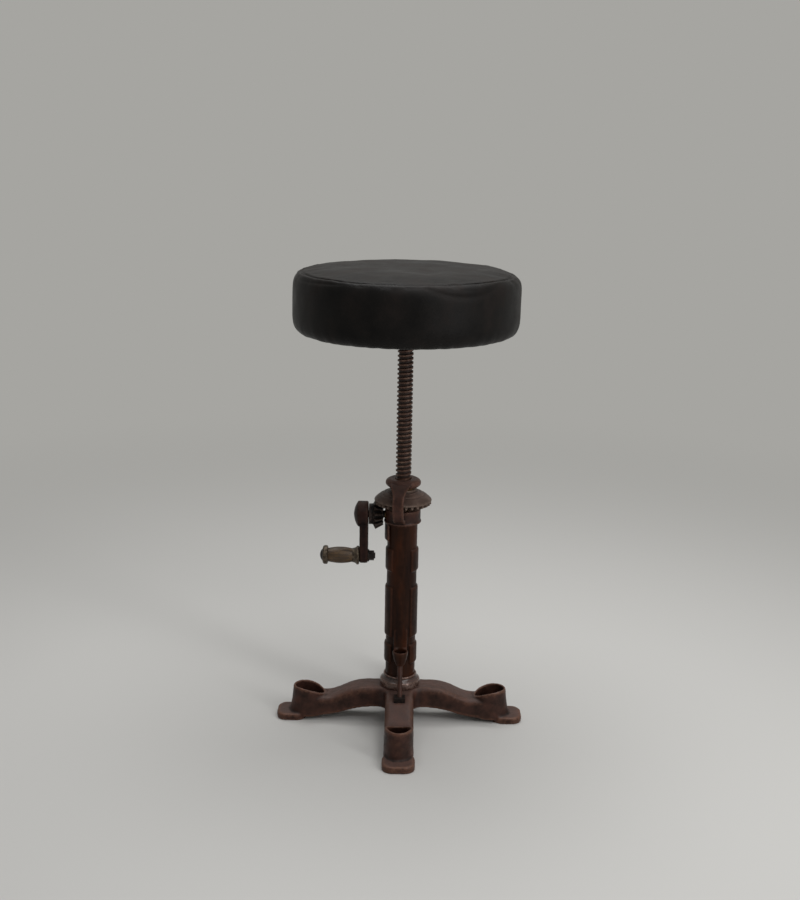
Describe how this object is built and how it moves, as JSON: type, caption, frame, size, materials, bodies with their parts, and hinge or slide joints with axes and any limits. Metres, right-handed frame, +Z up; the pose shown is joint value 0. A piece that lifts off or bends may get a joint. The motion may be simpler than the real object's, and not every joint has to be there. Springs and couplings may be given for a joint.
{
  "type": "crank-up stool",
  "caption": "Round leather-topped stool on a cast iron pillar and four-legged base, raised and lowered by a hand crank, bevel gears and a lifting screw.",
  "frame": {"origin": "on the floor, under the middle of the pillar", "axes": "+Z up, -Y towards the front leg with the stay, -X to the crank's side"},
  "size_m": [0.412, 0.412, 0.756],
  "materials": {
    "rusty_iron": "dark red-brown waxed rust patina, worn lighter on edges",
    "polished_iron": "the same patina, rubbed to a shine",
    "gear_iron": "greyer worn iron on the teeth",
    "screw_steel": "dark oiled steel",
    "dark_steel": "dark browned steel",
    "ferrule_steel": "dull grey-brown metal",
    "bronze": "plain bearing bronze",
    "grip_wood": "worn brown varnished hardwood",
    "plywood": "bare plywood",
    "foam": "open-cell foam",
    "black_leather": "soft black leather with a low sheen"
  },
  "bodies": {
    "stand": {"base_casting": "rusty_iron", "base_bolt": "dark_steel", "base_washer": "dark_steel", "foot_ring": "polished_iron", "column": "rusty_iron", "stay_rods": "dark_steel", "stay_blocks": "dark_steel", "gear_head": "rusty_iron", "head_set_screws": "dark_steel", "shaft_bush": "bronze", "thrust_washer": "bronze", "collar_washer": "bronze"},
    "gear": {"bevel_gear": "gear_iron", "gear_nut": "bronze"},
    "crank": {"crank_shaft": "dark_steel", "bevel_pinion": "gear_iron", "pinion_pin": "dark_steel", "crank_arm": "rusty_iron", "crank_set_screw": "dark_steel", "handle_spindle": "dark_steel", "spindle_washer": "dark_steel", "spindle_nut": "dark_steel"},
    "grip": {"grip_barrel": "grip_wood", "outer_ferrule": "ferrule_steel", "inner_ferrule": "ferrule_steel"},
    "lift": {"lift_screw": "screw_steel", "guide_shoe": "bronze", "shoe_pin": "dark_steel", "seat_flange": "rusty_iron", "flange_pin": "dark_steel", "seat_screws": "dark_steel", "seat_board": "plywood", "seat_foam": "foam", "seat_cover": "black_leather"}
  },
  "joints": [
    {"name": "crank_turn", "type": "hinge", "parent": "stand", "child": "crank", "pos_m": [0, 0, 0.357], "axis": [-1, 0, 0], "range_deg": [-20000, 4000]},
    {"name": "gear_turn", "type": "hinge", "parent": "stand", "child": "gear", "pos_m": [0, 0, 0.357], "axis": [0, 0, 1], "range_deg": [-2005, 10005]},
    {"name": "seat_lift", "type": "slide", "parent": "stand", "child": "lift", "axis": [0, 0, 1], "range_m": [-0.2002, 0.0402]},
    {"name": "grip_spin", "type": "hinge", "parent": "crank", "child": "grip", "pos_m": [0, 0, 0.2855], "axis": [-1, 0, 0], "continuous": true}
  ],
  "couplings": [
    {"joint": "gear_turn", "follows": "crank_turn", "ratio": -0.5},
    {"joint": "seat_lift", "follows": "crank_turn", "m_per_rad": 0.00057296}
  ]
}
